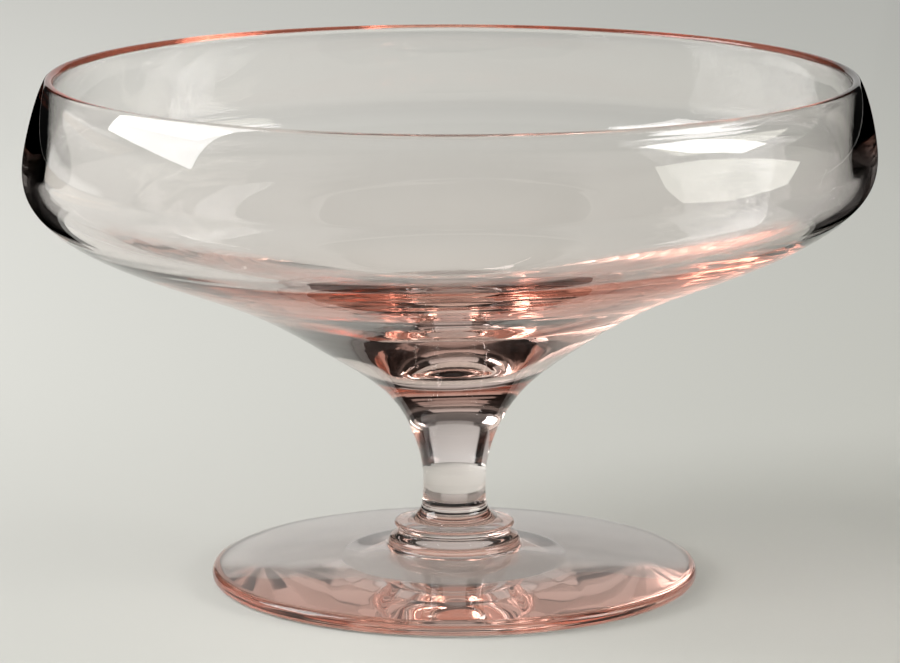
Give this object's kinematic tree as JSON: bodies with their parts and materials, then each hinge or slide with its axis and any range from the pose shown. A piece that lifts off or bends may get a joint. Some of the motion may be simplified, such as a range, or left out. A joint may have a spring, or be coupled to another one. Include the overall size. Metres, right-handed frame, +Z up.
{
  "type": "sherbet dish",
  "caption": "Footed clear rose glass dish: a wide shallow bowl with a full shoulder and leaning rim, on a short solid stem with a spread button and a low round foot.",
  "frame": {"origin": "centre of the foot's resting plane, on the axis of revolution", "axes": "+Z up along the axis of revolution, from the foot to the rim; X and Y are equivalent"},
  "size_m": [0.115, 0.115, 0.0694],
  "materials": {
    "rose_glass": "fire-polished soda glass with a faint rose tint"
  },
  "bodies": {
    "root": {"bowl": "rose_glass", "stem": "rose_glass", "foot": "rose_glass"}
  },
  "joints": []
}
